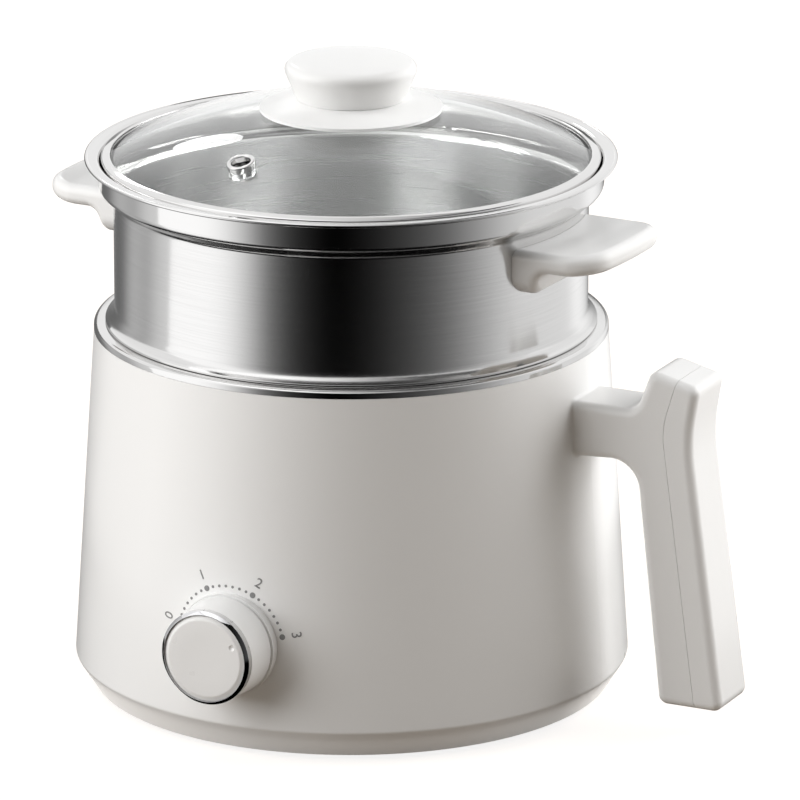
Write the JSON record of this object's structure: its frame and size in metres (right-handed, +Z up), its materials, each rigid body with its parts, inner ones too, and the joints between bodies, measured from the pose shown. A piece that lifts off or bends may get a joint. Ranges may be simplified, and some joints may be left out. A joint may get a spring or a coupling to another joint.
{
  "type": "electric hot pot",
  "caption": "Electric hot pot with a fixed steel pot in a plastic housing, a lift-out steamer, a domed glass lid, a heat dial and a long side handle.",
  "frame": {"origin": "on the surface that the pot stands on, under the axis of the pot", "axes": "+Z up along the pot's axis, -Y towards the heat dial, +X towards the long handle"},
  "size_m": [0.268, 0.2212, 0.2346],
  "materials": {
    "white_plastic": "satin gloss",
    "dark_plastic": "matt",
    "board": "solder resist",
    "rubber": "matt",
    "silicone": "translucent matt",
    "pot_steel": "polished rim, brushed inside",
    "steamer_steel": "brushed around",
    "band_steel": "polished",
    "sheet_steel": "zinc plated",
    "element_steel": "annealed",
    "fastener_steel": "zinc plated",
    "dial_chrome": "bright",
    "heater_aluminium": "cast",
    "pin_brass": "nickel plated",
    "lid_glass": "clear",
    "lead_live": "matt",
    "lead_neutral": "matt",
    "lead_earth": "matt",
    "lead_heater": "matt"
  },
  "bodies": {
    "base": {"housing_shell": "white_plastic", "bottom_cover": "white_plastic", "rubber_feet": "rubber", "cover_screws": "fastener_steel", "inner_pot": "pot_steel", "rim_seal": "silicone", "heating_plate": "heater_aluminium", "heating_element": "element_steel", "heat_shield": "sheet_steel", "shield_studs": "fastener_steel", "shield_nuts": "fastener_steel", "thermostat": "sheet_steel", "thermal_fuse": "dark_plastic", "heat_control": "dark_plastic", "control_nut": "fastener_steel", "handle_inner_shell": "white_plastic", "handle_outer_shell": "white_plastic", "handle_shell_screws": "fastener_steel", "arm_backing_plate": "sheet_steel", "arm_screws": "fastener_steel", "power_inlet": "dark_plastic", "inlet_pins": "pin_brass", "control_board": "board", "board_screws": "fastener_steel", "board_parts": "dark_plastic", "live_lead": "lead_live", "neutral_lead": "lead_neutral", "earth_lead": "lead_earth", "heater_leads": "lead_heater", "dial_leads": "lead_heater"},
    "dial": {"dial_knob": "white_plastic", "dial_ring": "dial_chrome", "dial_cap": "white_plastic", "dial_shaft": "heater_aluminium"},
    "steamer": {"steamer_body": "steamer_steel", "steam_plate": "steamer_steel", "ear_right": "white_plastic", "ear_left": "white_plastic", "ear_brackets": "sheet_steel", "ear_screws": "fastener_steel"},
    "lid": {"lid_glass": "lid_glass", "lid_band": "band_steel", "steam_vent": "band_steel", "knob_base": "white_plastic", "lid_knob": "white_plastic", "knob_washer": "silicone", "knob_screw": "fastener_steel"}
  },
  "joints": [
    {"name": "dial_turn", "type": "hinge", "parent": "base", "child": "dial", "pos_m": [0, -0.105, 0.042], "axis": [0, -1, 0], "range_deg": [-14, 140]},
    {"name": "steamer_lift", "type": "slide", "parent": "base", "child": "steamer", "axis": [0, 0, 1], "range_m": [0, 0.12]},
    {"name": "lid_lift", "type": "slide", "parent": "steamer", "child": "lid", "axis": [0, 0, 1], "range_m": [0, 0.12]}
  ]
}
